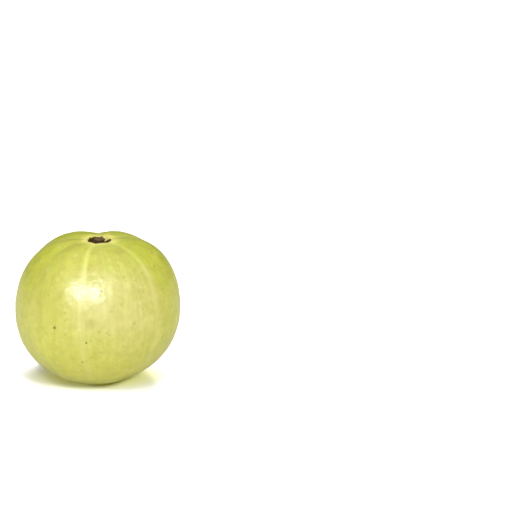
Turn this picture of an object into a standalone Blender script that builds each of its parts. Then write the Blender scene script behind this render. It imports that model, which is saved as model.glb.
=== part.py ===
"""Indian gooseberry (amla): one whole fruit with the stump of its stalk.

Metres, +Z up. The fruit stands on the flat ring round its blossom end. The origin is
on the ground under the middle of the fruit. Azimuth 0 looks out along -Y, the side
that shows best, and azimuth 90 along +X.
"""

import bpy
import numpy as np

# The flesh: an upright body with a fuller crown and a rounder base
FRUIT_RADIUS = 0.02079
CROWN_HEIGHT = 0.02097
CROWN_FULLNESS = 2.19
BASE_HEIGHT = 0.01896
BASE_FULLNESS = 2.074
SIDE_LEAN = 0.015
BASE_LEAN = 0.032
BASE_LEAN_ONSET = 0.004

# Six lobes between six seams that run from the stalk to the blossom end
SEAM_AZIMUTHS = (-12.0, 46.0, 115.0, 184.0, 255.0, 304.0)
SHOULDER_SWELLS = (0.0008, 0.00105, 0.00088, 0.0021, 0.00088, 0.00044)
LOBE_SWELL = 0.0003
SEAM_GROOVE = 0.00005
CROWN_SHARPNESS = 0.42
SIDE_SHARPNESS = 0.90
SHARPNESS_FROM = 0.5
SHARPNESS_OVER = 0.7
LOBE_FADE_HEIGHT = 0.004
LOBE_CALM = 0.8
SHOULDER_CALM = 1.5

# The hollow round the stalk
DISH_DEPTH = 0.00305
DISH_RADIUS = 0.01055
PIT_DEPTH = 0.0016
PIT_FLOOR_RADIUS = 0.0023
PIT_LIP_RADIUS = 0.0032
CROWN_BLEND = 0.35

# The flat ring that the fruit stands on, and the blossom scar inside it
RING_OUTER_RADIUS = 0.0052
RING_INNER_RADIUS = 0.0018
SCAR_DEPTH = 0.0007
SCAR_RAY_RELIEF = 0.3

# The woody stump and the ring of withered sepals at its foot
FLESH_GAP = 0.0003
STUMP_HEIGHT = 0.00172
STUMP_FOOT_RADIUS = 0.0012
STUMP_NECK_RADIUS = 0.00112
STUMP_HEAD_RADIUS = 0.00138
SEPAL_AZIMUTHS = (-96.0, -38.0, 12.0, 74.0, 142.0, 205.0)
SEPAL_LENGTHS = (0.0006, 0.00045, 0.0004, 0.00132, 0.00046, 0.0005)
SEPAL_HALF_WIDTH = 24.0
SEPAL_RISE = 0.0008

# How finely each surface is divided
FRUIT_SIDES = 84
STUMP_SIDES = 60


def seam_phase(azimuth):
    """How many seams lie before an azimuth in degrees: a whole number on each seam."""
    seams = np.array(SEAM_AZIMUTHS + (SEAM_AZIMUTHS[0] + 360.0,))
    return np.interp((azimuth - seams[0]) % 360.0 + seams[0], seams, np.arange(7))


def grid_azimuths(sides):
    """Azimuths round the fruit, as many in each lobe, so that each seam is on a grid line."""
    seams = np.array(SEAM_AZIMUTHS + (SEAM_AZIMUTHS[0] + 360.0,))
    phase = np.arange(sides) * 6.0 / sides
    return np.interp(phase, np.arange(7), seams)


def smooth_step(value):
    """A smooth rise from 0 to 1 as the value goes from 0 to 1."""
    value = np.clip(value, 0.0, 1.0)
    return value * value * (3.0 - 2.0 * value)


def polar_radius(polar):
    """The body without its lobes: a super-ellipse, with one fullness above and one below."""
    upper = 0.5 + 0.5 * np.tanh(4.0 * np.cos(polar))
    fullness = BASE_FULLNESS + (CROWN_FULLNESS - BASE_FULLNESS) * upper
    height = BASE_HEIGHT + (CROWN_HEIGHT - BASE_HEIGHT) * upper
    across = (np.sin(polar) / FRUIT_RADIUS) ** fullness
    along = (np.abs(np.cos(polar)) / height) ** fullness
    return (across + along) ** (-1.0 / fullness)


def ring_polar():
    """The polar angle at which the body meets the outer edge of the flat ring."""
    polar = np.linspace(2.0, np.pi, 2000)
    out = polar_radius(polar) * np.sin(polar)
    return float(np.interp(-RING_OUTER_RADIUS, -out, polar))


def ring_level():
    """How far the flat ring lies below the widest level of the fruit."""
    polar = ring_polar()
    return float(-polar_radius(polar) * np.cos(polar))


def seam_cut(polar, azimuth):
    """0 on the crown of a lobe and 1 in a seam: a crease near the stalk, a soft valley lower down."""
    lower = smooth_step((polar - SHARPNESS_FROM) / SHARPNESS_OVER)
    width = CROWN_SHARPNESS + (SIDE_SHARPNESS - CROWN_SHARPNESS) * lower
    across = np.abs(np.sin(np.pi * seam_phase(azimuth)))
    soft = np.sqrt(across**2 + width**2) - width
    return 1.0 - soft / (np.sqrt(1.0 + width**2) - width)


def shoulder_swell(azimuth):
    """How deep a seam lies over the shoulder, run smoothly from each seam to the next."""
    phase = seam_phase(azimuth)
    seam = np.minimum(phase.astype(int), 5)
    swells = np.array(SHOULDER_SWELLS + (SHOULDER_SWELLS[0],))
    return swells[seam] + (swells[seam + 1] - swells[seam]) * smooth_step(phase - seam)


def body_surface(polar, azimuth):
    """Radius from the stalk's axis and height over the ground, with lobes, dish and pit."""
    plain_height = polar_radius(polar) * np.cos(polar) + ring_level()
    fade = smooth_step(plain_height / LOBE_FADE_HEIGHT) * np.sin(polar) ** LOBE_CALM
    shoulder = np.sin(polar) ** SHOULDER_CALM * np.maximum(np.cos(polar), 0.0) ** 2
    cut = seam_cut(polar, azimuth)
    seam = (LOBE_SWELL * cut + SEAM_GROOVE * cut**8) * fade
    seam = seam + shoulder_swell(azimuth) * cut * shoulder
    radius = polar_radius(polar) - seam
    out = radius * np.sin(polar)
    height = radius * np.cos(polar) + ring_level()
    crown = smooth_step(np.cos(polar) / CROWN_BLEND)
    dish = DISH_DEPTH * np.exp(-((out / DISH_RADIUS) ** 2))
    pit = 1.0 - smooth_step((out - PIT_FLOOR_RADIUS) / (PIT_LIP_RADIUS - PIT_FLOOR_RADIUS))
    height = height - crown * (dish + PIT_DEPTH * pit)
    return out, height


def pit_floor_height():
    """Height of the middle of the stalk's pit over the ground."""
    return CROWN_HEIGHT + ring_level() - DISH_DEPTH - PIT_DEPTH


def scar_surface(out, azimuth):
    """The blossom scar: a shallow bowl inside the flat ring, with a ray up each seam."""
    across = out / RING_INNER_RADIUS
    bowl = SCAR_DEPTH * (1.0 - across**2) ** 2
    rays = np.cos(2.0 * np.pi * seam_phase(azimuth)) * across**2
    return bowl * (1.0 + SCAR_RAY_RELIEF * rays)


def fruit_rings(azimuth):
    """Rings of (radius, height) from the middle of the pit down to the middle of the scar."""
    polar = np.radians(
        np.concatenate(
            [
                np.array([3.0, 5.8]),
                np.linspace(6.6, 10.0, 7),
                np.array([12.0, 14.5, 17.5, 21.0]),
                np.linspace(25.0, 155.0, 27),
                np.linspace(159.0, np.degrees(ring_polar()), 2),
            ]
        )
    )
    out, height = body_surface(polar[:, None], azimuth[None, :])
    height[-1] = 0.0
    out[-1] = RING_OUTER_RADIUS
    scar_out = RING_INNER_RADIUS * np.array([1.0, 0.8, 0.55, 0.28])[:, None]
    scar_out = scar_out + 0.0 * azimuth[None, :]
    scar_height = scar_surface(scar_out, azimuth[None, :])
    return np.vstack([out, scar_out]), np.vstack([height, scar_height])


def leaned(out, azimuth, height):
    """Points in metres, with the fruit leaning a little to one side as it grew, most at its base."""
    angle = np.radians(azimuth)
    drop = np.maximum(ring_level() - height, 0.0)
    under = BASE_LEAN * drop**2 / (drop + BASE_LEAN_ONSET)
    across = out * np.sin(angle) + SIDE_LEAN * height - under
    return np.stack([across, -out * np.cos(angle), height + 0.0 * across], axis=-1)


def middle_shift():
    """What moves the middle of the fruit's box over the origin."""
    azimuth = grid_azimuths(FRUIT_SIDES)
    out, height = fruit_rings(azimuth)
    points = leaned(out, azimuth[None, :], height).reshape(-1, 3)
    middle = 0.5 * (points.min(axis=0) + points.max(axis=0))
    return np.array([-middle[0], -middle[1], 0.0])


def closed_skin(rings, first_pole, last_pole):
    """Vertices and faces of rings of points, closed by a fan at each end."""
    count, sides = rings.shape[:2]
    points = np.vstack([first_pole[None, :], rings.reshape(-1, 3), last_pole[None, :]])
    ring_of = np.arange(count * sides).reshape(count, sides) + 1
    after = np.roll(ring_of, -1, axis=1)
    faces = []
    for here, there in zip(ring_of[0], after[0]):
        faces.append((0, int(here), int(there)))
    for row in range(count - 1):
        for side in range(sides):
            faces.append(
                (
                    int(ring_of[row, side]),
                    int(ring_of[row + 1, side]),
                    int(after[row + 1, side]),
                    int(after[row, side]),
                )
            )
    last = len(points) - 1
    for here, there in zip(ring_of[-1], after[-1]):
        faces.append((last, int(there), int(here)))
    return points, faces


def add_solid(name, points, faces, material):
    """A smooth shaded object with its points in world space."""
    mesh = bpy.data.meshes.new(name)
    mesh.from_pydata(points.tolist(), [], faces)
    mesh.validate()
    mesh.shade_smooth()
    mesh.materials.append(material)
    solid = bpy.data.objects.new(name, mesh)
    bpy.context.scene.collection.objects.link(solid)
    return solid


def plain_material(name, colour, roughness):
    """A Principled surface in one colour."""
    material = bpy.data.materials.new(name)
    material.use_nodes = True
    shader = material.node_tree.nodes["Principled BSDF"]
    shader.inputs["Base Color"].default_value = (*colour, 1.0)
    shader.inputs["Roughness"].default_value = roughness
    shader.inputs["Metallic"].default_value = 0.0
    return material


def skin_material():
    """Pale yellow-green skin with a soft gloss."""
    return plain_material("amla_skin", (0.71, 0.68, 0.19), 0.32)


def stump_material():
    """Dry purplish brown wood."""
    return plain_material("dry_stalk", (0.16, 0.085, 0.035), 0.85)


def make_fruit(shift):
    """The whole fruit, one piece of flesh from the stalk's pit to the blossom scar."""
    azimuth = grid_azimuths(FRUIT_SIDES)
    out, height = fruit_rings(azimuth)
    rings = leaned(out, azimuth[None, :], height) + shift
    pit_middle = leaned(np.array(0.0), 0.0, pit_floor_height()) + shift
    scar_middle = leaned(np.array(0.0), 0.0, np.array(SCAR_DEPTH)) + shift
    points, faces = closed_skin(rings, pit_middle, scar_middle)
    return add_solid("fruit", points, faces, skin_material())


def sepal_reach(azimuth):
    """How far the withered sepals stand out at an azimuth, past the foot of the stump."""
    reach = np.zeros_like(azimuth)
    for middle, length in zip(SEPAL_AZIMUTHS, SEPAL_LENGTHS):
        away = (azimuth - middle + 180.0) % 360.0 - 180.0
        reach = reach + length * np.exp(-((away / SEPAL_HALF_WIDTH) ** 2))
    return reach


def stump_rings(azimuth):
    """Rings of (radius, height over its foot) up the stump, out round each sepal and over the head."""
    reach = sepal_reach(azimuth)
    rise = SEPAL_RISE * reach / max(SEPAL_LENGTHS)
    foot = STUMP_FOOT_RADIUS
    neck = STUMP_NECK_RADIUS
    head = STUMP_HEAD_RADIUS
    tall = STUMP_HEIGHT
    rows = [
        (0.6 * foot + 0.0 * reach, 0.0 * reach),
        (foot + 0.0 * reach, 0.0 * reach),
        (foot + 0.55 * reach, 0.12 * tall + 0.30 * rise),
        (foot + 0.90 * reach, 0.20 * tall + 0.80 * rise),
        (foot + reach, 0.30 * tall + 1.05 * rise),
        (foot + 0.80 * reach, 0.36 * tall + 1.00 * rise),
        (foot + 0.40 * reach, 0.42 * tall + 0.40 * rise),
        (neck + 0.0 * reach, 0.54 * tall + 0.0 * rise),
        (0.5 * (neck + head) + 0.0 * reach, 0.66 * tall + 0.0 * rise),
        (head + 0.0 * reach, 0.78 * tall + 0.0 * rise),
        (0.93 * head + 0.0 * reach, 0.90 * tall + 0.0 * rise),
        (0.68 * head + 0.0 * reach, 0.97 * tall + 0.0 * rise),
        (0.35 * head + 0.0 * reach, 0.995 * tall + 0.0 * rise),
    ]
    return np.array([row[0] for row in rows]), np.array([row[1] for row in rows])


def make_stump(shift):
    """The stalk's stump with its sepals, standing clear of the pit's floor and wall."""
    azimuth = np.arange(STUMP_SIDES) * 360.0 / STUMP_SIDES
    foot_height = float(pit_floor_height()) + FLESH_GAP
    out, height = stump_rings(azimuth)
    rings = leaned(out, azimuth[None, :], height + foot_height) + shift
    foot_middle = leaned(np.array(0.0), 0.0, np.array(foot_height)) + shift
    head_middle = leaned(np.array(0.0), 0.0, np.array(foot_height + STUMP_HEIGHT)) + shift
    points, faces = closed_skin(rings[::-1], head_middle, foot_middle)
    return add_solid("stem_stub", points, faces, stump_material())


def main():
    for old in list(bpy.data.objects):
        bpy.data.objects.remove(old, do_unlink=True)
    shift = middle_shift()
    make_fruit(shift)
    make_stump(shift)


main()
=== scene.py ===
import math

import bpy
import numpy as np
from mathutils import Matrix, Vector


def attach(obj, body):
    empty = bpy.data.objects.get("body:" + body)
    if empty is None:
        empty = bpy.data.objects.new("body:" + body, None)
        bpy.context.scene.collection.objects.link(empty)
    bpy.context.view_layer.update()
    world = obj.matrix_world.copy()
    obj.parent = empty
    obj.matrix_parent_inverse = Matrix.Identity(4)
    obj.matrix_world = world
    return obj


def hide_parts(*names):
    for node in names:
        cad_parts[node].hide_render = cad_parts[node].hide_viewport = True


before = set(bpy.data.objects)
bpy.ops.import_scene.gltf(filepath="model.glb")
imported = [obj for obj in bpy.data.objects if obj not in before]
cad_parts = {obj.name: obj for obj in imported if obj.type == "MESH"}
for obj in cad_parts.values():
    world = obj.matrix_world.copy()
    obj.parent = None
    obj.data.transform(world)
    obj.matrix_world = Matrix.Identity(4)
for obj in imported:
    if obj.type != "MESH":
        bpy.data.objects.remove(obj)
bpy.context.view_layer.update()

mm = 0.001
print("stage: frame loaded")

# The flesh, in millimetres and degrees. Azimuth 0 looks along -Y and 90 along +X.
flesh = {
    "radius": 20.79,          # across the crowns of the lobes at the widest level
    "crownHeight": 20.97,     # over the widest level, before the dish is taken off
    "crownFullness": 2.19,    # powers of the outline: 2 is an ellipse, and more is squarer
    "baseHeight": 18.96,
    "baseFullness": 2.074,
    "waistBlend": 4.0,        # how quickly the crown's outline goes over into the base's
    "lean": 0.015,            # sideways for each unit of height
    "baseLean": 0.032,        # and more of it under the widest level
    "leanReach": 4.0,
    "seams": (-12.0, 46.0, 115.0, 184.0, 255.0, 304.0),
    "lobeSwell": 0.30,
    "shoulderSwell": (0.80, 1.05, 0.88, 2.10, 0.88, 0.44),    # how deep each seam lies over the shoulder
    "seamGroove": 0.05,
    "grooveSharpness": 8,
    "seamSharpness": (0.42, 0.90),      # at the crown and at the sides, from a crease to a soft valley
    "sharpSpan": (0.5, 0.7),            # the polar angle where that changes, and over how much, in radians
    "lobeFade": 4.0,
    "calm": (0.8, 1.5),       # powers of the sine by which lobes and shoulder seams die out at the pit
    "seamStray": (4.0, 0.5, -2.6, 1.8, -3.2, 2.4),     # degrees that each seam strays from its meridian
    "strayMiddle": 1.26,      # the polar angle where no seam strays, in radians
    "strayReach": 0.75,
    "strayMost": 1.2,
    "seamStrength": (0.95, 0.70, 0.5, 0.6, 0.30, 0.06),
    "lobeTone": (0.0, 0.55, 0.35, 0.5, 0.30, 0.05),    # how green the lobe after each seam is
    "toneBlend": 0.2,         # half the width of the change from lobe to lobe, in seam numbers
    "dishDepth": 3.05,
    "dishRadius": 10.55,
    "crownBlend": 0.35,
    "pitDepth": 1.6,
    "pitFloor": 2.3,
    "pitLip": 3.2,
    "lipWaver": 0.09,         # how uneven the lip is, as a part of its radius
    "lipWaves": ((0.5, 2.0, 0.6), (0.3, 3.0, 2.0), (0.2, 7.0, 1.0)),    # share, waves round it, phase
    "pitNotch": (141.0, 15.0, 0.7),      # the pale flesh goes down deeper at this azimuth
    "ringOuter": 5.2,
    "ringInner": 1.8,
    "scarDepth": 0.7,
    "rayRelief": 0.3,
    "lumps": ((0.07, 13.0, 24.0, 5), (0.015, 1.5, 3.4, 11)),    # height, shortest and longest wave, seed
    "lumpFadeUp": 5.0,        # the lumps grow to full height this far over the ground
    "lumpFadeOut": (2.6, 3.0),     # and from this far off the axis, over this width
    "rowSpans": ((0.8, 6.0, 8), (6.3, 10.6, 26), (11.0, 25.0, 36), (25.7, 150.0, 132)),
    "lastSpan": (150.9, 14),       # polar degrees and rows, down to the ring
    "ringRows": 6,
    "scarRows": 10,
    "scarHub": 0.12,          # the innermost row, as a part of the ring's inner radius
    "sides": 360,
    "streakRadius": 20.0,     # the streaks' pattern lies round a tube of this radius
    "streakStretch": 0.10,
}


seamCount = len(flesh["seams"])
seamTurns = np.array(flesh["seams"] + (flesh["seams"][0] + 360.0,))


# value * value * (3 - 2 * value), held between 0 and 1
def smoothStep(value):
    value = np.clip(value, 0.0, 1.0)
    return value * value * (3.0 - 2.0 * value)


# degrees from one azimuth to another, the short way round: (a - b + 180) % 360 - 180
def turnBetween(azimuth, other):
    return (azimuth - other + 180.0) % 360.0 - 180.0


# seam number, whole on a seam and from 0 to their count, turned into the azimuth that it grew at
def seamAzimuth(phase):
    return np.interp(phase % seamCount, np.arange(seamCount + 1), seamTurns)


# (|sin a| / radius)^n + (|cos a| / height)^n = r^-n, with one height and n above and others below
def polarRadius(polar):
    upper = 0.5 + 0.5 * np.tanh(flesh["waistBlend"] * np.cos(polar))
    n = flesh["baseFullness"] + (flesh["crownFullness"] - flesh["baseFullness"]) * upper
    height = flesh["baseHeight"] + (flesh["crownHeight"] - flesh["baseHeight"]) * upper
    across = (np.sin(polar) / flesh["radius"]) ** n
    along = (np.abs(np.cos(polar)) / height) ** n
    return (across + along) ** (-1.0 / n)


# the polar angle where r * sin a is the outer radius of the flat ring underneath
polarTable = np.linspace(2.0, np.pi, 4000)
ringPolar = float(np.interp(-flesh["ringOuter"], -polarRadius(polarTable) * np.sin(polarTable), polarTable))
ringLevel = float(-polarRadius(ringPolar) * np.cos(ringPolar))


# 1 in a seam and 0 on the crown of a lobe: 1 - (sqrt(sin^2 + s^2) - s) / (sqrt(1 + s^2) - s)
def seamCut(phase, polar):
    crownSharp, sideSharp = flesh["seamSharpness"]
    start, width = flesh["sharpSpan"]
    s = crownSharp + (sideSharp - crownSharp) * smoothStep((polar - start) / width)
    across = np.abs(np.sin(np.pi * phase))
    return 1.0 - (np.sqrt(across**2 + s * s) - s) / (np.sqrt(1.0 + s * s) - s)


# a value for each seam, run smoothly from seam to seam: value = a + (b - a) * smooth(part)
def betweenSeams(values, phase):
    values = np.array(tuple(values) + (values[0],))
    seam = np.minimum((phase % seamCount).astype(int), seamCount - 1)
    part = smoothStep(phase % seamCount - seam)
    return values[seam] + (values[seam + 1] - values[seam]) * part


# the sum of many plane waves cos(k . p + phase) with seeded directions, its spread made 1
def waveField(points, shortest, longest, seed, count=56):
    rng = np.random.default_rng(seed)
    directions = rng.normal(size=(count, 3))
    directions /= np.linalg.norm(directions, axis=1)[:, None]
    lengths = shortest + (longest - shortest) * rng.random(count)
    phases = rng.random(count) * 2.0 * np.pi
    total = np.zeros(points.shape[:-1])
    for direction, length, phase in zip(directions, lengths, phases):
        total += np.cos(points @ (direction * 2.0 * np.pi / length) + phase)
    return total / math.sqrt(count / 2.0)


# the lip's radius as a factor: 1 + waver * the sum of share * cos(waves * azimuth + phase)
def lipShape(azimuth):
    angle = np.radians(azimuth)
    wave = sum(share * np.cos(count * angle + phase) for share, count, phase in flesh["lipWaves"])
    return 1.0 + flesh["lipWaver"] * wave


# out = r * sin a and height = r * cos a + level, with r less in the seams, and the height less in the dish
# (depth * exp(-(out / radius)^2)) and in the pit (depth * smooth(1 inside its floor, 0 outside its lip))
def bodySurface(polar, phase, azimuth):
    plain = polarRadius(polar)
    lobeCalm, shoulderCalm = flesh["calm"]
    fade = smoothStep((plain * np.cos(polar) + ringLevel) / flesh["lobeFade"]) * np.sin(polar) ** lobeCalm
    shoulder = np.sin(polar) ** shoulderCalm * np.maximum(np.cos(polar), 0.0) ** 2
    cut = seamCut(phase, polar)
    seam = (flesh["lobeSwell"] * cut + flesh["seamGroove"] * cut ** flesh["grooveSharpness"]) * fade
    r = plain - seam - betweenSeams(flesh["shoulderSwell"], phase) * cut * shoulder
    out = r * np.sin(polar)
    height = r * np.cos(polar) + ringLevel
    crown = smoothStep(np.cos(polar) / flesh["crownBlend"])
    dish = flesh["dishDepth"] * np.exp(-((out / flesh["dishRadius"]) ** 2))
    lip = lipShape(azimuth)
    inside = (out / lip - flesh["pitFloor"]) / (flesh["pitLip"] - flesh["pitFloor"])
    pit = flesh["pitDepth"] * (1.0 - smoothStep(inside))
    return out, height - crown * (dish + pit)


# a shallow bowl depth * (1 - t^2)^2 inside the ring, with a ray up each seam
def scarSurface(out, phase):
    t = out / flesh["ringInner"]
    rays = np.cos(2.0 * np.pi * phase) * t * t
    return flesh["scarDepth"] * (1.0 - t * t) ** 2 * (1.0 + flesh["rayRelief"] * rays)


# x = out * sin(azimuth) + lean * height - baseLean * drop^2 / (drop + reach), y = -out * cos(azimuth)
def leaned(out, azimuth, height):
    angle = np.radians(azimuth)
    drop = np.maximum(ringLevel - height, 0.0)
    under = flesh["baseLean"] * drop**2 / (drop + flesh["leanReach"])
    x = out * np.sin(angle) + flesh["lean"] * height - under
    return np.stack([x, -out * np.cos(angle), height + 0.0 * x], axis=-1)


# rows from the pit to the ring, closer together where the surface turns, then the flat ring and the scar;
# each seam strays from its meridian by stray * bend * |bend|
def fleshGrid():
    sides = flesh["sides"]
    ringStart, ringCount = flesh["lastSpan"]
    spans = [np.linspace(*span) for span in flesh["rowSpans"]]
    spans.append(np.linspace(ringStart, np.degrees(ringPolar), ringCount))
    polar = np.radians(np.concatenate(spans))[:, None]
    phase = (np.arange(sides) * seamCount / sides)[None, :]
    most = flesh["strayMost"]
    bend = np.clip((polar - flesh["strayMiddle"]) / flesh["strayReach"], -most, most)
    azimuth = seamAzimuth(phase) + betweenSeams(flesh["seamStray"], phase) * bend * np.abs(bend)
    out, height = bodySurface(polar, phase, azimuth)
    scarAcross = flesh["ringInner"] * np.linspace(1.0, flesh["scarHub"], flesh["scarRows"])
    scarOut = scarAcross[:, None] + 0.0 * phase
    ringAcross = np.linspace(flesh["ringOuter"], flesh["ringInner"], flesh["ringRows"] + 2)
    ringOut = ringAcross[1:-1, None] + 0.0 * phase
    under = np.vstack([ringOut, scarOut])
    out = np.vstack([out, under])
    height = np.vstack([height, 0.0 * ringOut, scarSurface(scarOut, phase)])
    azimuth = np.vstack([azimuth, np.repeat(azimuth[-1:], len(under), axis=0)])
    polar = np.vstack([polar, np.pi - np.arctan2(under[:, :1], ringLevel)])
    return out, height, azimuth, polar, phase


# a value for each lobe, changed quickly at a seam: a + (b - a) * smooth((part + blend) / (2 * blend))
def betweenLobes(values, phase):
    values = np.array(values)
    seam = np.round(phase).astype(int)
    part = smoothStep((phase - seam + flesh["toneBlend"]) / (2.0 * flesh["toneBlend"]))
    before, after = values[(seam - 1) % seamCount], values[seam % seamCount]
    return before + (after - before) * part


# vertices and faces of rings of points, closed by a fan of triangles at each end
def closedSkin(name, rings, firstPole, lastPole):
    rows, sides = rings.shape[:2]
    points = np.vstack([firstPole[None, :], rings.reshape(-1, 3), lastPole[None, :]])
    index = np.arange(rows * sides).reshape(rows, sides) + 1
    after = np.roll(index, -1, axis=1)
    quads = np.stack([index[:-1], index[1:], after[1:], after[:-1]], axis=-1).reshape(-1, 4)
    first = np.stack([np.zeros(sides, int), index[0], after[0]], axis=-1)
    last = np.stack([np.full(sides, len(points) - 1), after[-1], index[-1]], axis=-1)
    mesh = bpy.data.meshes.new(name)
    mesh.from_pydata(points.tolist(), [], quads.tolist() + first.tolist() + last.tolist())
    mesh.shade_smooth()
    piece = bpy.data.objects.new(name, mesh)
    bpy.context.scene.collection.objects.link(piece)
    return piece


# a value for each vertex, with the same poles that closedSkin adds
def paint(piece, name, values, firstPole, lastPole):
    values = np.asarray(values, np.float32)
    if values.ndim == 3:
        flat = np.vstack([firstPole, values.reshape(-1, 3), lastPole]).astype(np.float32)
        layer = piece.data.attributes.new(name, "FLOAT_VECTOR", "POINT")
        layer.data.foreach_set("vector", flat.ravel())
    else:
        flat = np.concatenate([[firstPole], values.ravel(), [lastPole]]).astype(np.float32)
        layer = piece.data.attributes.new(name, "FLOAT", "POINT")
        layer.data.foreach_set("value", flat)


out, height, azimuth, polar, phase = fleshGrid()
pitFloor = float(bodySurface(np.array([[1e-6]]), np.array([[0.0]]), 0.0)[1][0, 0])
middle = leaned(out, azimuth, height).reshape(-1, 3)
middleShift = -0.5 * (middle.min(axis=0) + middle.max(axis=0)) * np.array([1.0, 1.0, 0.0])


# lumps lift the skin along the line from the fruit's middle, and die out at the ring and in the pit
def makeSkin():
    places = leaned(out, azimuth, height)
    lift = 0.0
    for tall, shortest, longest, seed in flesh["lumps"]:
        lift = lift + tall * waveField(places, shortest, longest, seed)
    start, width = flesh["lumpFadeOut"]
    calm = smoothStep(height / flesh["lumpFadeUp"]) * smoothStep((out - start) / width)
    lift = lift * calm
    rings = leaned(out + lift * np.sin(polar), azimuth, height + lift * np.cos(polar)) + middleShift
    pitMiddle = leaned(np.array(0.0), 0.0, pitFloor) + middleShift
    scarMiddle = leaned(np.array(0.0), 0.0, np.array(flesh["scarDepth"])) + middleShift
    piece = closedSkin("amlaSkin", rings * mm, pitMiddle * mm, scarMiddle * mm)
    return piece, rings


# what the skin's material reads at each vertex: a place on the streaks' tube, millimetres from the seam
# (|phase - whole| * spread * out), the seam's and the lobe's values, the level from -1 to 1, millimetres
# from the axis, and how deep in the pit it lies (1 - notch - way up its wall, from 0 to 1)
def paintSkin(piece):
    straight = np.radians(seamAzimuth(phase)) + 0.0 * polar
    tube = flesh["streakRadius"]
    along = flesh["streakStretch"] * height + 0.0 * straight
    streak = np.stack([tube * np.sin(straight), -tube * np.cos(straight), along], axis=-1)
    paint(piece, "streakPoint", streak, (0.0, 0.0, 4.0), (0.0, 0.0, -1.0))
    spread = np.radians(np.diff(seamTurns)[np.minimum(phase.astype(int), seamCount - 1)])
    paint(piece, "seamNear", np.abs(phase - np.round(phase)) * spread * out, 0.0, 0.0)
    paint(piece, "seamStrength", betweenSeams(flesh["seamStrength"], phase) + 0.0 * out, 1.0, 1.0)
    paint(piece, "lobeTone", betweenLobes(flesh["lobeTone"], phase) + 0.0 * out, 0.5, 0.5)
    paint(piece, "level", (height - ringLevel) / flesh["radius"] + 0.0 * out, 1.0, -1.0)
    paint(piece, "fromAxis", out, 0.0, 0.0)
    inside = (out / lipShape(azimuth) - flesh["pitFloor"]) / (flesh["pitLip"] - flesh["pitFloor"])
    middle, width, depth = flesh["pitNotch"]
    notch = depth * np.exp(-((turnBetween(azimuth, middle) / width) ** 2))
    farOut = 2.5
    inside = np.where(polar > 0.5 * np.pi, farOut, np.clip(inside, 0.0, farOut))
    paint(piece, "pitDeep", 1.0 - notch - inside, 1.0, 1.0 - farOut)


skinPiece, skinRings = makeSkin()
paintSkin(skinPiece)
print("stage: skin, %d vertices" % len(skinPiece.data.vertices))


# a node of a material's tree, with its inputs given as values or as other nodes' outputs
def addNode(tree, kind, inputs=None, **settings):
    made = tree.nodes.new(kind)
    for key, value in settings.items():
        setattr(made, key, value)
    for key, value in (inputs or {}).items():
        if isinstance(value, bpy.types.NodeSocket):
            tree.links.new(value, made.inputs[key])
        else:
            made.inputs[key].default_value = value
    return made


# an empty material with its Principled surface, and the shader to fill in
def newMaterial(name):
    material = bpy.data.materials.new(name)
    material.use_nodes = True
    shader = material.node_tree.nodes["Principled BSDF"]
    return material, material.node_tree, shader


# a value that a piece carries at its vertices
def attribute(tree, name, output="Fac"):
    return addNode(tree, "ShaderNodeAttribute", attribute_name=name).outputs[output]


# value at low gives toLow, and at high toHigh, held at both ends
def mapRange(tree, value, low, high, toLow=0.0, toHigh=1.0, kind="SMOOTHSTEP"):
    made = addNode(tree, "ShaderNodeMapRange", interpolation_type=kind)
    tree.links.new(value, made.inputs["Value"])
    made.inputs["From Min"].default_value = low
    made.inputs["From Max"].default_value = high
    made.inputs["To Min"].default_value = toLow
    made.inputs["To Max"].default_value = toHigh
    return made.outputs["Result"]


# a cloudy pattern round 0.5, with scale waves to a unit of the vector
def noise(tree, vector, scale, detail=2.0, roughness=0.5):
    inputs = {"Vector": vector, "Scale": scale, "Detail": detail, "Roughness": roughness}
    return addNode(tree, "ShaderNodeTexNoise", inputs).outputs["Fac"]


# first + (second - first) * factor, or the same with first * second as the second;
# a Mix node's colours are its inputs 6 and 7 and its output 2
def mixColour(tree, factor, first, second, blend="MIX"):
    made = addNode(tree, "ShaderNodeMix", data_type="RGBA", blend_type=blend)
    for place, value in ((0, factor), (6, first), (7, second)):
        if isinstance(value, bpy.types.NodeSocket):
            tree.links.new(value, made.inputs[place])
        elif place == 0:
            made.inputs[place].default_value = value
        else:
            made.inputs[place].default_value = (*value, 1.0)
    return made.outputs[2]


# one sum, product or the like of two values
def mathNode(tree, operation, first, second):
    made = addNode(tree, "ShaderNodeMath", operation=operation)
    for place, value in enumerate((first, second)):
        if isinstance(value, bpy.types.NodeSocket):
            tree.links.new(value, made.inputs[place])
        else:
            made.inputs[place].default_value = value
    return made.outputs[0]


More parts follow.
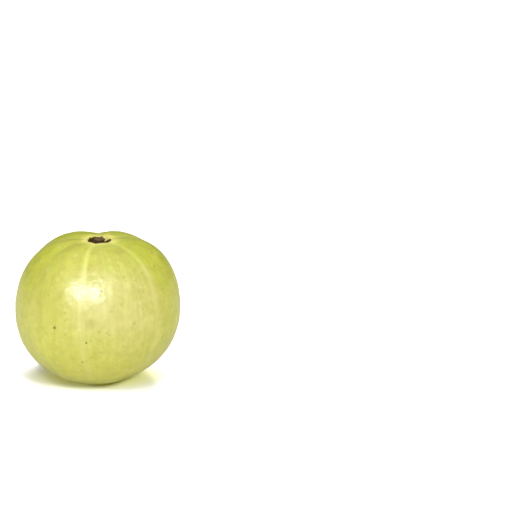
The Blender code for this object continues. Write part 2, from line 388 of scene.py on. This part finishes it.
# The skin's colours and patterns. A grain is (scale, detail, roughness). Spans and levels are
# (low, high), or (low, high, value at low, value at high).
skinLook = {
    "flesh": (0.610, 0.593, 0.120),
    "cheek": (0.665, 0.630, 0.225),
    "greenFlesh": (0.525, 0.555, 0.058),
    "greenGrain": (95.0, 2.0, 0.5),
    "greenSpan": (0.35, 0.75, -0.12, 0.22),
    "shoulderSpan": (0.15, 0.60, 0.25, 1.0),          # levels between which a lobe's own tone comes in
    "crownSpan": (0.35, 0.90, 0.0, 0.40),
    "mottle": ((0.900, 0.903, 0.81), (1.080, 1.080, 1.18)),      # darkest and palest, as factors
    "mottleGrain": (480.0, 4.0, 0.62),
    "wideStreaks": (0.55, 3.0, 0.6),
    "fineStreaks": (1.1, 3.0, 0.6),
    "patternShares": (1.0, 0.40, 0.25),               # of the mottling, the wide and the fine streaks
    "patternSpan": (0.30, 0.70),
    "dots": ((400.0, 0.32, "olive"), (330.0, 0.30, "seamPale")),     # scale, share, colour
    "dotSpan": (0.24, 0.06),
    "hues": ((0.97, 1.015, 0.95), (1.03, 0.99, 1.05)),           # greenest and yellowest, as factors
    "hueGrain": (260.0, 3.0, 0.6),
    "hueLevels": (0.0, 0.6, 0.4, 1.0),
    "seamPale": (0.80, 0.77, 0.34),
    "seamTop": (0.76, 0.79, 0.18),
    "seamTopLevels": (0.62, 0.80),
    "seamWidth": (0.40, 0.75, 1.45, 1.05),            # levels, and millimetres to each side
    "seamClear": (0.20, 0.75, 0.25, 0.95),            # levels, and how strong the line is
    "seamBreaks": (0.25, 0.60, 0.7, 1.0),
    "lipPale": (0.90, 0.82, 0.22),
    "lipSpan": (5.6, 3.8),                            # millimetres from the axis
    "lipLevels": (0.0, 0.5),
    "lipShare": 0.85,
    # dry brown, made near black with painted shade of the deep hollow
    "pitBrownAndShade": (0.070, 0.048, 0.006),
    "pitSpan": (0.0, 0.30),
    "pitRoughness": 0.85,
    "raggedGrain": (1400.0, 2.0, 0.6),
    "raggedSpan": (0.2, 0.8, -0.12, 0.12),
    "scarBrown": (0.12, 0.08, 0.02),
    "scarSpan": (2.6, 1.1),
    "scarLevels": (-0.55, -0.80),
    "roughness": (0.42, 0.60),
    "specularLevel": 0.24,
    "coat": 1.0,
    "coatRoughness": 0.31,
    "subsurface": 0.25,
    "subsurfaceReach": (1.0, 0.85, 0.30),
    "subsurfaceScale": 0.0022,
    "bump": (1.0, 0.00020),
    "peelGrain": (520.0, 4.0, 0.6),
    # spots: azimuth in degrees, height and radius in millimetres, full inside this part of the radius
    "cheekSpot": (15.0, 26.5, 19.0, 0.15),
    "lipGlow": (-28.0, 35.6, 1.9),
    "paintedLightAndShadeSpots": (
        # painted shade: a darker, dusky patch low at the right, where a fruit beside it shaded the skin
        ((64.0, 8.0, 11.0, 0.0), 0.6, (0.52, 0.47, 0.09)),       # dusky, low at the right
        # painted light: the crown in front of the pit made paler where light from above falls, and a little
        # greener
        ((28.0, 35.5, 7.5, 0.2), 0.7, (0.75, 0.82, 0.15)),       # pale, on the crown
    ),
    "olive": (0.36, 0.35, 0.060),
    "oliveSpot": (-5.2, 21.4, 2.0),
    "oliveShare": 0.45,
    # specks: azimuth in degrees, height and radius in millimetres, and how dark
    "speck": (0.16, 0.14, 0.020),
    "speckSpread": (1.5, 0.25),
    "specks": (
        (-30.7, 19.5, 0.38, 1.0), (-7.8, 16.2, 0.28, 0.9), (-11.1, 10.7, 0.26, 0.7), (1.3, 28.9, 0.40, 0.6),
        (6.3, 18.9, 0.22, 0.45), (60.0, 32.2, 0.26, 0.6), (70.6, 34.4, 0.24, 0.5),
        (98.0, 24.0, 0.24, 0.6), (121.0, 14.0, 0.30, 0.8), (139.0, 27.0, 0.22, 0.5),
        (163.0, 19.0, 0.28, 0.8), (188.0, 11.0, 0.24, 0.6), (204.0, 29.0, 0.26, 0.6),
        (231.0, 17.0, 0.30, 0.8), (252.0, 25.0, 0.22, 0.5),
    ),
}


# the point of the skin nearest to an azimuth and a height, in metres
def skinPoint(turn, rise):
    score = (np.radians(turnBetween(azimuth, turn)) * out) ** 2 + (height - rise) ** 2
    return Vector(skinRings[np.unravel_index(np.argmin(score), score.shape)] * mm)


# 1 at a point of the skin, falling smoothly to 0 at the radius
def spot(tree, place, turn, rise, radius, core=0.0):
    ends = {0: place, 1: skinPoint(turn, rise)}
    apart = addNode(tree, "ShaderNodeVectorMath", ends, operation="DISTANCE")
    return mapRange(tree, apart.outputs["Value"], radius * mm, core * radius * mm)


# a pale cheek in front and greener flesh, each lobe with its own tone, strongest at the shoulder:
# green = soft patches + lobe tone * shoulder + crown
def fleshColour(tree, place, level):
    cheek = spot(tree, place, *skinLook["cheekSpot"])
    colour = mixColour(tree, cheek, skinLook["flesh"], skinLook["cheek"])
    patch = mapRange(tree, noise(tree, place, *skinLook["greenGrain"]), *skinLook["greenSpan"])
    shoulder = mapRange(tree, level, *skinLook["shoulderSpan"])
    tone = mathNode(tree, "MULTIPLY", attribute(tree, "lobeTone"), shoulder)
    green = mathNode(tree, "ADD", patch, tone)
    green = mathNode(tree, "ADD", green, mapRange(tree, level, *skinLook["crownSpan"]))
    green = mapRange(tree, green, 0.0, 1.0, kind="LINEAR")
    colour = mixColour(tree, green, colour, skinLook["greenFlesh"])
    # painted shade low at the right and painted light on the crown, mixed into the flesh's colour
    for where, share, tint in skinLook["paintedLightAndShadeSpots"]:
        dab = mathNode(tree, "MULTIPLY", spot(tree, place, *where), share)
        colour = mixColour(tree, dab, colour, tint)
    return colour


# streaks down the fruit, a fine mottling, faint dots and a drift of hue, each multiplied or mixed in
def patternColour(tree, place, level, mottle, fine, colour):
    wide = noise(tree, attribute(tree, "streakPoint", "Vector"), *skinLook["wideStreaks"])
    for pattern, share in zip((mottle, wide, fine), skinLook["patternShares"]):
        part = mapRange(tree, pattern, *skinLook["patternSpan"], kind="LINEAR")
        tone = mixColour(tree, part, *skinLook["mottle"])
        colour = mixColour(tree, share, colour, tone, "MULTIPLY")
    for scale, share, dotColour in skinLook["dots"]:
        cells = addNode(tree, "ShaderNodeTexVoronoi", {"Vector": place, "Scale": scale})
        dot = mapRange(tree, cells.outputs["Distance"], *skinLook["dotSpan"])
        colour = mixColour(tree, mathNode(tree, "MULTIPLY", dot, share), colour, skinLook[dotColour])
    hue = mapRange(tree, noise(tree, place, *skinLook["hueGrain"]), *skinLook["patternSpan"], kind="LINEAR")
    tint = mixColour(tree, hue, *skinLook["hues"])
    return mixColour(tree, mapRange(tree, level, *skinLook["hueLevels"]), colour, tint, "MULTIPLY")


# the seams, clear at the crown and faint below: line * clear * each seam's strength * breaks
def seamColour(tree, level, fine, colour):
    width = mapRange(tree, level, *skinLook["seamWidth"])
    line = mapRange(tree, mathNode(tree, "DIVIDE", attribute(tree, "seamNear"), width), 1.0, 0.0)
    clear = mapRange(tree, level, *skinLook["seamClear"])
    strong = mathNode(tree, "MULTIPLY", clear, attribute(tree, "seamStrength"))
    seam = mathNode(tree, "MULTIPLY", line, strong)
    seam = mathNode(tree, "MULTIPLY", seam, mapRange(tree, fine, *skinLook["seamBreaks"]))
    top = mapRange(tree, level, *skinLook["seamTopLevels"])
    return mixColour(tree, seam, colour, mixColour(tree, top, skinLook["seamPale"], skinLook["seamTop"]))


# the pale lip of the pit, and the inside of it in a dry brown darkened with painted shade of the hollow
def pitColour(tree, place, level, fromAxis, inPit, colour):
    near = mapRange(tree, fromAxis, *skinLook["lipSpan"])
    lip = mathNode(tree, "MULTIPLY", near, mapRange(tree, level, *skinLook["lipLevels"]))
    lip = mathNode(tree, "MULTIPLY", lip, skinLook["lipShare"])
    lip = mathNode(tree, "MAXIMUM", lip, spot(tree, place, *skinLook["lipGlow"]))
    colour = mixColour(tree, lip, colour, skinLook["lipPale"])
    return mixColour(tree, mapRange(tree, inPit, *skinLook["pitSpan"]), colour, skinLook["pitBrownAndShade"])


# the olive patch, the specks, and the brown blossom scar underneath
def markColour(tree, place, level, fromAxis, colour):
    olive = mathNode(tree, "MULTIPLY", spot(tree, place, *skinLook["oliveSpot"]), skinLook["oliveShare"])
    colour = mixColour(tree, olive, colour, skinLook["olive"])
    spread, core = skinLook["speckSpread"]
    for turn, rise, radius, dark in skinLook["specks"]:
        dot = mathNode(tree, "MULTIPLY", spot(tree, place, turn, rise, spread * radius, core), dark)
        colour = mixColour(tree, dot, colour, skinLook["speck"])
    under = mapRange(tree, level, *skinLook["scarLevels"])
    scar = mathNode(tree, "MULTIPLY", mapRange(tree, fromAxis, *skinLook["scarSpan"]), under)
    return mixColour(tree, scar, colour, skinLook["scarBrown"])


# waxy skin: a soft coat over the flesh, which is dull and uncoated in the pit, with a fine peel
def skinMaterial():
    material, tree, shader = newMaterial("amla skin")
    place = addNode(tree, "ShaderNodeTexCoord").outputs["Object"]
    level = attribute(tree, "level")
    fromAxis = attribute(tree, "fromAxis")
    mottle = noise(tree, place, *skinLook["mottleGrain"])
    fine = noise(tree, attribute(tree, "streakPoint", "Vector"), *skinLook["fineStreaks"])
    ragged = mapRange(tree, noise(tree, place, *skinLook["raggedGrain"]), *skinLook["raggedSpan"])
    inPit = mathNode(tree, "ADD", attribute(tree, "pitDeep"), ragged)

    colour = fleshColour(tree, place, level)
    colour = patternColour(tree, place, level, mottle, fine, colour)
    colour = seamColour(tree, level, fine, colour)
    colour = pitColour(tree, place, level, fromAxis, inPit, colour)
    colour = markColour(tree, place, level, fromAxis, colour)
    tree.links.new(colour, shader.inputs["Base Color"])

    rough = mapRange(tree, mottle, *skinLook["patternSpan"], *skinLook["roughness"])
    dry = mapRange(tree, inPit, *skinLook["pitSpan"], 0.0, skinLook["pitRoughness"])
    tree.links.new(mathNode(tree, "MAXIMUM", rough, dry), shader.inputs["Roughness"])
    coat = mapRange(tree, inPit, *skinLook["pitSpan"], skinLook["coat"], 0.0)
    tree.links.new(coat, shader.inputs["Coat Weight"])
    strength, depth = skinLook["bump"]
    peel = noise(tree, place, *skinLook["peelGrain"])
    bump = addNode(tree, "ShaderNodeBump", {"Height": peel, "Strength": strength, "Distance": depth})
    tree.links.new(bump.outputs["Normal"], shader.inputs["Normal"])
    tree.links.new(bump.outputs["Normal"], shader.inputs["Coat Normal"])
    shader.inputs["Coat Roughness"].default_value = skinLook["coatRoughness"]
    shader.inputs["Specular IOR Level"].default_value = skinLook["specularLevel"]
    shader.inputs["Subsurface Weight"].default_value = skinLook["subsurface"]
    shader.inputs["Subsurface Radius"].default_value = skinLook["subsurfaceReach"]
    shader.inputs["Subsurface Scale"].default_value = skinLook["subsurfaceScale"]
    return material


skinPiece.data.materials.append(skinMaterial())
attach(skinPiece, "root")
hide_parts("fruit")
print("stage: skin finished")

# The dry stump of the stalk with its six withered sepals, in millimetres and degrees
stalk = {
    "foot": 1.2,
    "neck": 1.12,
    "head": 1.38,
    "tall": 1.72,
    "gap": 0.3,               # how high its CAD node stands over the pit's floor
    "sunk": 0.35,             # how far the foot goes down to meet the flesh
    # the azimuth and the length of each sepal
    "sepals": ((-96.0, 0.62), (-38.0, 0.40), (12.0, 0.36), (74.0, 1.32), (142.0, 0.12), (205.0, 0.30)),
    "sepalWidth": 22.0,
    "sepalRise": 0.8,         # how far the longest one turns up
    "sepalEdges": ((0.10, 11.0, 1.0), (0.06, 23.0, 0.0)),     # share, waves, how much each one differs
    "rows": 72,
    "sides": 240,
    "grainRadius": 1.4,       # the fibres' pattern lies round a tube of this radius
    "grainStretch": 0.12,
    "fibre": (0.035, 0.35, 0.8, 21),        # height, shortest and longest wave, seed
    "bark": (0.030, 0.35, 0.9, 23),
    "headBark": (0.027, 0.22, 0.6, 29),
    # where the roughness starts and over how much it grows: by height and by radius
    "barkFrom": ((-0.3, 0.4), (0.2, 0.6)),
    "headBarkFrom": ((0.85, 0.08), (0.1, 0.3)),     # the first as a part of tall
    "headMiddle": 0.93,
}


# the product of smooth((height - start) / width) and the same for the radius
def grown(up, around, spans):
    (upStart, upWidth), (outStart, outWidth) = spans
    return smoothStep((up - upStart) / upWidth) * smoothStep((around - outStart) / outWidth)


# the sum of length * exp(-(away / width)^2) * (1 + share * sin(waves * away)) over the sepals
def sepalReach(turn):
    reach = np.zeros_like(turn)
    for middle, length in stalk["sepals"]:
        away = turnBetween(turn, middle)
        ragged = 1.0
        for share, waves, differ in stalk["sepalEdges"]:
            ragged = ragged + share * np.sin(np.radians(waves * away + differ * middle))
        reach = reach + length * np.exp(-((away / stalk["sepalWidth"]) ** 2)) * ragged
    return reach


# a smooth curve through rows of values: the cubic through four neighbours, with half-difference slopes
def throughRows(rows, count):
    rows = np.array(rows)
    last = len(rows) - 1
    along = np.linspace(0.0, last, count)
    here = np.minimum(along.astype(int), last - 1)
    t = (along - here)[:, None]
    before, first = rows[np.maximum(here - 1, 0)], rows[here]
    second, after = rows[here + 1], rows[np.minimum(here + 2, last)]
    bend = 2.0 * before - 5.0 * first + 4.0 * second - after
    twist = 3.0 * (first - second) + after - before
    return first + 0.5 * t * (second - before + t * (bend + t * twist))


# rows of radius and height, from the foot out along each sepal, in to the neck and out to the broken head,
# with fibres and bark added along the radius, and the head's roughness upwards
def makeStalk():
    turn = np.arange(stalk["sides"]) * 360.0 / stalk["sides"]
    reach = sepalReach(turn)
    longest = max(length for middle, length in stalk["sepals"])
    rise = stalk["sepalRise"] * reach / longest
    foot, neck, head, tall = stalk["foot"], stalk["neck"], stalk["head"], stalk["tall"]
    flat = 0.0 * reach
    rows = [
        (0.5 * foot + flat, flat - stalk["sunk"]),
        (0.98 * foot + flat, flat - 0.6 * stalk["sunk"]),
        (foot + 0.10 * reach, flat),
        (foot + 0.55 * reach, 0.12 * tall + 0.30 * rise),
        (foot + 0.90 * reach, 0.20 * tall + 0.80 * rise),
        (foot + reach, 0.28 * tall + 1.05 * rise),
        (foot + 0.80 * reach, 0.35 * tall + 1.00 * rise),
        (foot + 0.40 * reach, 0.41 * tall + 0.40 * rise),
        (neck + flat, 0.52 * tall + flat),
        (0.5 * (neck + head) + flat, 0.66 * tall + flat),
        (head + flat, 0.79 * tall + flat),
        (0.95 * head + flat, 0.90 * tall + flat),
        (0.80 * head + flat, 0.965 * tall + flat),
        (0.62 * head + flat, 0.96 * tall + flat),
        (0.40 * head + flat, 0.93 * tall + flat),
        (0.16 * head + flat, 0.93 * tall + flat),
    ]
    around = throughRows([row[0] for row in rows], stalk["rows"])
    up = throughRows([row[1] for row in rows], stalk["rows"])
    angle = np.radians(turn)[None, :] + 0.0 * up
    tube = stalk["grainRadius"]
    grain = np.stack([tube * np.sin(angle), -tube * np.cos(angle), stalk["grainStretch"] * up], axis=-1)
    knots = np.stack([around * np.sin(angle), -around * np.cos(angle), up], axis=-1)
    side = grown(up, around, stalk["barkFrom"])
    headRough = grown(up / tall, around, stalk["headBarkFrom"])
    fibre, bark, headBark = stalk["fibre"], stalk["bark"], stalk["headBark"]
    around = around + fibre[0] * waveField(grain, *fibre[1:]) * side
    around = around + bark[0] * waveField(knots, *bark[1:]) * side
    up = up + headBark[0] * waveField(knots, *headBark[1:]) * headRough
    stand = pitFloor + stalk["gap"]
    rings = leaned(around, np.degrees(angle), up + stand) + middleShift
    footMiddle = leaned(np.array(0.0), 0.0, stand - stalk["sunk"]) + middleShift
    headMiddle = leaned(np.array(0.0), 0.0, stand + stalk["headMiddle"] * tall) + middleShift
    piece = closedSkin("stalkStump", rings[::-1] * mm, headMiddle * mm, footMiddle * mm)
    paint(piece, "headNear", (up / tall)[::-1], 1.0, 0.0)
    paint(piece, "reachOut", around[::-1], 0.0, 0.0)
    paint(piece, "grainPoint", grain[::-1], (0.0, 0.0, 0.2), (0.0, 0.0, 0.0))
    return piece


# The stalk's colours and patterns, written like the skin's
stalkLook = {
    "darkBark": (0.050, 0.030, 0.008),
    "brownBark": (0.150, 0.085, 0.030),
    "greyBark": (0.230, 0.190, 0.165),
    "headWood": (0.125, 0.078, 0.034),
    "fibreGrain": (3.2, 4.0, 0.65),
    "fibreSpan": (0.30, 0.65),
    "blotchGrain": (900.0, 3.0, 0.6),
    "greySpan": (0.55, 0.72, 0.0, 0.7),
    "headLevels": (0.84, 0.93),
    "headSpan": (1.3, 1.1),             # millimetres from the axis
    "woodSpan": (0.35, 0.6),
    "shadedTipSpan": (1.5, 2.1, 0.0, 0.75),
    "roughSpan": (0.3, 0.7, 0.90, 0.62),
    "crumbGrain": (4200.0, 2.0, 0.6),
    "bump": (0.6, 0.00008),
    "specularLevel": 0.35,
}


# dry bark along the fibres, grey in blotches, with paler wood on the broken head, and the sepals' outer
# parts dark: withered bark, and painted shade of the pit's hollow
def stalkMaterial():
    material, tree, shader = newMaterial("dry stalk")
    place = addNode(tree, "ShaderNodeTexCoord").outputs["Object"]
    reachOut = attribute(tree, "reachOut")
    fibres = noise(tree, attribute(tree, "grainPoint", "Vector"), *stalkLook["fibreGrain"])
    blotch = noise(tree, place, *stalkLook["blotchGrain"])
    brown = mapRange(tree, fibres, *stalkLook["fibreSpan"])
    colour = mixColour(tree, brown, stalkLook["darkBark"], stalkLook["brownBark"])
    grey = mapRange(tree, blotch, *stalkLook["greySpan"])
    colour = mixColour(tree, grey, colour, stalkLook["greyBark"])
    high = mapRange(tree, attribute(tree, "headNear"), *stalkLook["headLevels"])
    top = mathNode(tree, "MULTIPLY", high, mapRange(tree, reachOut, *stalkLook["headSpan"]))
    wood = mapRange(tree, blotch, *stalkLook["woodSpan"])
    wood = mixColour(tree, wood, stalkLook["brownBark"], stalkLook["headWood"])
    colour = mixColour(tree, top, colour, wood)
    # painted shade: the sepals' outer parts go dark, as withered bark and as the shade deep in the pit
    shadedTips = mapRange(tree, reachOut, *stalkLook["shadedTipSpan"])
    colour = mixColour(tree, shadedTips, colour, stalkLook["darkBark"])
    tree.links.new(colour, shader.inputs["Base Color"])
    tree.links.new(mapRange(tree, blotch, *stalkLook["roughSpan"]), shader.inputs["Roughness"])
    strength, depth = stalkLook["bump"]
    heights = mathNode(tree, "ADD", fibres, noise(tree, place, *stalkLook["crumbGrain"]))
    bump = addNode(tree, "ShaderNodeBump", {"Height": heights, "Strength": strength, "Distance": depth})
    tree.links.new(bump.outputs["Normal"], shader.inputs["Normal"])
    shader.inputs["Specular IOR Level"].default_value = stalkLook["specularLevel"]
    return material


stalkPiece = makeStalk()
stalkPiece.data.materials.append(stalkMaterial())
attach(stalkPiece, "root")
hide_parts("stem_stub")
print("stage: stalk finished")

# The camera, by the photograph: where the fruit's widest level shows, and its scale
view = {
    "elevation": 19.0,        # degrees
    "distance": 500.0,        # millimetres
    "millimetresPerPixel": 0.253,
    "fruitPixel": (98.14, 307.84),
    "frame": 510.0,
    "sensor": 36.0,
    "clip": (0.01, 20.0),     # metres
}


# forward aims at the frame's middle pixel, and up is the fruit's own up made square to it
def makeCamera():
    tilt = math.radians(view["elevation"])
    toCamera = Vector((0.0, -math.cos(tilt), math.sin(tilt)))
    upright = Vector((0.0, math.sin(tilt), math.cos(tilt)))
    core = Vector((middleShift[0] + flesh["lean"] * ringLevel, middleShift[1], ringLevel))
    place = core + toCamera * view["distance"]
    half = 0.5 * view["frame"]
    right = (half - view["fruitPixel"][0]) * view["millimetresPerPixel"]
    rise = (view["fruitPixel"][1] - half) * view["millimetresPerPixel"]
    aim = core + Vector((right, 0.0, 0.0)) + upright * rise
    forward = (aim - place).normalized()
    up = (upright - forward * upright.dot(forward)).normalized()
    side = forward.cross(up)
    data = bpy.data.cameras.new("photoCamera")
    data.sensor_width = view["sensor"]
    data.lens = view["sensor"] * view["distance"] / (view["frame"] * view["millimetresPerPixel"])
    data.clip_start, data.clip_end = view["clip"]
    camera = bpy.data.objects.new("photoCamera", data)
    bpy.context.scene.collection.objects.link(camera)
    camera.matrix_world = Matrix((
        (side.x, up.x, -forward.x, place.x * mm),
        (side.y, up.y, -forward.y, place.y * mm),
        (side.z, up.z, -forward.z, place.z * mm),
        (0.0, 0.0, 0.0, 1.0),
    ))
    bpy.context.scene.camera = camera


makeCamera()
print("stage: camera")

# The studio. Each light: degrees from -Y towards +X and over the horizon, metres away, its size, watts.
studio = {
    "fruitLights": {
        "keySoftbox": (-18.0, 38.0, 0.70, (0.28, 0.26), 2.1),
        "keyShine": (-16.4, 35.8, 0.70, (0.21, 0.22), 4.9),
        "lowPanel": (-12.0, 4.0, 1.10, (1.20, 0.30), 3.8),
        "rightPanel": (72.0, 46.0, 0.90, (0.80, 0.80), 3.8),
        "leftPanel": (-78.0, 34.0, 0.90, (0.80, 0.80), 1.5),
        "topPanel": (0.0, 80.0, 0.90, (0.80, 0.80), 2.7),
        "backPanel": (170.0, 50.0, 0.90, (0.80, 0.80), 3.0),
    },
    "mirrored": "keyShine",         # the skin's gloss shows this one only, and the others light its colour
    "floorLights": {
        "floorRight": (30.0, 32.0, 1.00, (0.24, 0.24), 11.2),
        "floorTop": (0.0, 75.0, 1.00, (0.24, 0.24), 5.0),
        "floorBackLeft": (-120.0, 75.0, 1.00, (0.24, 0.24), 3.3),
        "floorBack": (155.0, 52.0, 1.00, (0.24, 0.24), 6.6),
        "floorLeft": (-90.0, 8.0, 1.00, (0.24, 0.24), 15.0),
        "floorFront": (-20.0, 45.0, 1.00, (0.24, 0.24), 4.2),
    },
    "keyRoll": 12.0,                # degrees that the mirrored one is turned about its own axis
    "yellowed": {"rightPanel": (1.0, 0.98, 0.74)},
    "world": 0.05,                  # the grey of everything else
    "sweepRadius": 2.4,             # metres, as below
    "sweepHub": 0.02,
    "sweepSides": 96,
    "floorDrop": 0.0005,
    "sweepColour": (0.90, 0.90, 0.90),
    "glowReach": (0.15, 0.60),      # far from the fruit the sweep is white by itself
    # painted light: the fruit's yellow-green light thrown back onto the floor close round it
    "tint": (0.90, 0.89, 0.36),     # the fruit's colour on the floor close round it
    "paintedBounceReach": (0.0085, 0.0200),
    "paintedBounceSquash": 1.7,              # it reaches less far in front of the fruit than beside it
    "bounceColour": (0.80, 0.80, 0.60),
    "roughness": 0.9,
    "specularLevel": 0.1,
}


# a rectangle of light that faces the aim, seen by no camera
def addLight(name, turn, rise, distance, size, power, aim):
    flat = math.cos(math.radians(rise))
    toLight = Vector((
        flat * math.sin(math.radians(turn)),
        -flat * math.cos(math.radians(turn)),
        math.sin(math.radians(rise)),
    ))
    data = bpy.data.lights.new(name, "AREA")
    data.shape = "RECTANGLE"
    data.size, data.size_y = size
    data.energy = power
    light = bpy.data.objects.new(name, data)
    bpy.context.scene.collection.objects.link(light)
    light.location = aim + toLight * distance
    light.rotation_euler = toLight.to_track_quat("Z", "Y").to_euler()
    light.visible_camera = False
    return light


# a dull colour; a tinted one goes over into painted light near the fruit, the fruit's yellow-green thrown
# back onto the floor, and into white light far from it
def plainMaterial(name, colour, tinted=False):
    material, tree, shader = newMaterial(name)
    shader.inputs["Base Color"].default_value = (*colour, 1.0)
    if tinted:
        place = addNode(tree, "ShaderNodeTexCoord").outputs["Object"]
        squash = {0: place, 1: (1.0, studio["paintedBounceSquash"], 1.0)}
        squashed = addNode(tree, "ShaderNodeVectorMath", squash, operation="MULTIPLY").outputs["Vector"]
        away = addNode(tree, "ShaderNodeVectorMath", {0: squashed}, operation="LENGTH").outputs["Value"]
        colour = mixColour(tree, mapRange(tree, away, *studio["paintedBounceReach"]), studio["tint"], colour)
        tree.links.new(colour, shader.inputs["Base Color"])
        glow = mapRange(tree, away, *studio["glowReach"])
        tree.links.new(glow, shader.inputs["Emission Strength"])
    shader.inputs["Roughness"].default_value = studio["roughness"]
    shader.inputs["Specular IOR Level"].default_value = studio["specularLevel"]
    shader.inputs["Emission Color"].default_value = (1.0, 1.0, 1.0, 1.0)
    return material


# a round floor that turns up into a dome: radius and height along one profile, carried round the axis
def makeSweep():
    reach = studio["sweepRadius"]
    bend = np.radians(np.linspace(0.0, 90.0, 19))
    profile = np.concatenate([
        [[studio["sweepHub"], 0.0], [0.5 * reach, 0.0]],
        np.stack([0.5 * reach + 0.5 * reach * np.sin(bend), 0.5 * reach * (1.0 - np.cos(bend))], axis=1),
        np.stack([reach * np.cos(bend[1:]), 0.5 * reach + reach * np.sin(bend[1:])], axis=1)[:-1],
    ])
    sides = studio["sweepSides"]
    turn = np.radians(np.arange(sides) * 360.0 / sides)[None, :]
    across, up = profile[:, :1], profile[:, 1:]
    rings = np.stack([across * np.cos(turn), across * np.sin(turn), up + 0.0 * turn], -1)
    sweep = closedSkin("studioSweep", rings, np.zeros(3), np.array([0.0, 0.0, 1.5 * reach]))
    sweep.data.materials.append(plainMaterial("studio sweep", studio["sweepColour"], True))
    sweep.visible_diffuse = False
    sweep.visible_glossy = False
    sweep.visible_transmission = False
    sweep.visible_shadow = False
    return sweep


# a square just under the sweep that no camera sees, which throws light up at the fruit
def makeFloor():
    reach, drop = studio["sweepRadius"], studio["floorDrop"]
    corners = [(x * reach, y * reach, -drop) for x, y in ((-1, -1), (1, -1), (1, 1), (-1, 1))]
    mesh = bpy.data.meshes.new("studioFloor")
    mesh.from_pydata(corners, [], [(0, 1, 2, 3)])
    mesh.materials.append(plainMaterial("studio floor", studio["bounceColour"]))
    floor = bpy.data.objects.new("studioFloor", mesh)
    bpy.context.scene.collection.objects.link(floor)
    floor.visible_camera = False
    return floor


# the fruit's lights reach the fruit and the hidden floor, and the others only the sweep that is seen
def makeStudio():
    sweep = makeSweep()
    floor = makeFloor()
    aim = Vector((0.0, 0.0, ringLevel * mm))
    for group, lit in (("fruitLights", (skinPiece, stalkPiece, floor)), ("floorLights", (sweep,))):
        reached = bpy.data.collections.new(group)
        for piece in lit:
            reached.objects.link(piece)
        for name, (turn, rise, distance, size, power) in studio[group].items():
            light = addLight(name, turn, rise, distance, size, power, aim)
            light.light_linking.receiver_collection = reached
            light.visible_glossy = name == studio["mirrored"]
            light.visible_diffuse = not light.visible_glossy
            light.data.color = studio["yellowed"].get(name, (1.0, 1.0, 1.0))
            if light.visible_glossy:
                light.rotation_euler.rotate_axis("Z", math.radians(studio["keyRoll"]))
    world = bpy.data.worlds.new("studioWorld")
    world.use_nodes = True
    grey = studio["world"]
    world.node_tree.nodes["Background"].inputs["Color"].default_value = (grey, grey, grey, 1.0)
    bpy.context.scene.world = world
    bpy.context.scene.view_settings.view_transform = "Standard"


makeStudio()
print("stage: studio")
